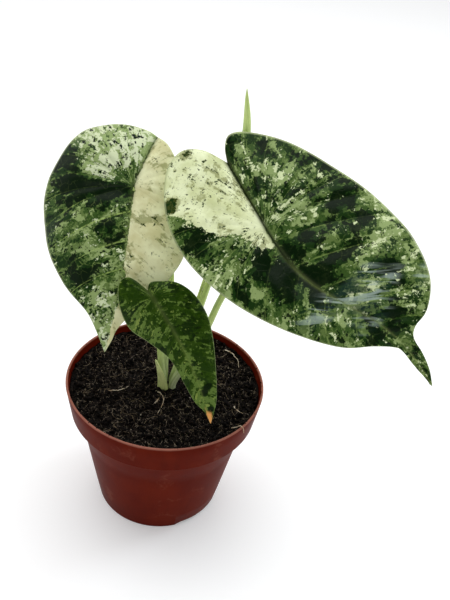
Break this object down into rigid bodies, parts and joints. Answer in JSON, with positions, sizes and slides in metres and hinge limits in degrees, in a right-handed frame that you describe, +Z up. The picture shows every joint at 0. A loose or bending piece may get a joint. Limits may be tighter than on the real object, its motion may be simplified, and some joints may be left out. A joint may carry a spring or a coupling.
{
  "type": "potted alocasia",
  "caption": "Young variegated alocasia with large heart-shaped leaves and a rolled new leaf, growing in a tapered round nursery pot filled with dark soil.",
  "frame": {"origin": "centre of the pot's flat underside", "axes": "+Z up out of the pot, -Y the front that the large leaves face, +X towards the larger leaf's tip"},
  "size_m": [0.2158, 0.1217, 0.266],
  "materials": {
    "pot_plastic": "satin moulded terracotta-brown plastic",
    "peat": "coarse dark peat with fine fibres",
    "corm": "rough brown corm and roots",
    "stalk": "smooth pale green stalk",
    "rolled_leaf": "smooth yellow-green rolled blade",
    "sheath": "thin papery pale green sheath",
    "leaf_half_cream": "satin leaf, one half marbled green and one half cream",
    "leaf_mottled": "glossy leaf mottled dark green, mid green and cream",
    "leaf_dark": "glossy dark green leaf, yellower towards its tip",
    "fine_root": "thin pale dry root"
  },
  "bodies": {
    "root": {"pot": "pot_plastic", "soil": "peat", "rootstock": "corm", "petiole_left": "stalk", "petiole_right": "stalk", "petiole_front": "stalk", "petiole_new": "stalk", "leaf_new_rolled": "rolled_leaf", "sheath_base": "sheath", "sheath_new": "sheath", "leaf_left": "leaf_half_cream", "leaf_right": "leaf_mottled", "leaf_front": "leaf_dark", "root_strand_rim": "fine_root", "root_strand_fork": "fine_root", "root_strand_branch": "fine_root", "root_strand_right": "fine_root", "root_strand_back": "fine_root", "root_strand_left": "fine_root"}
  },
  "joints": []
}
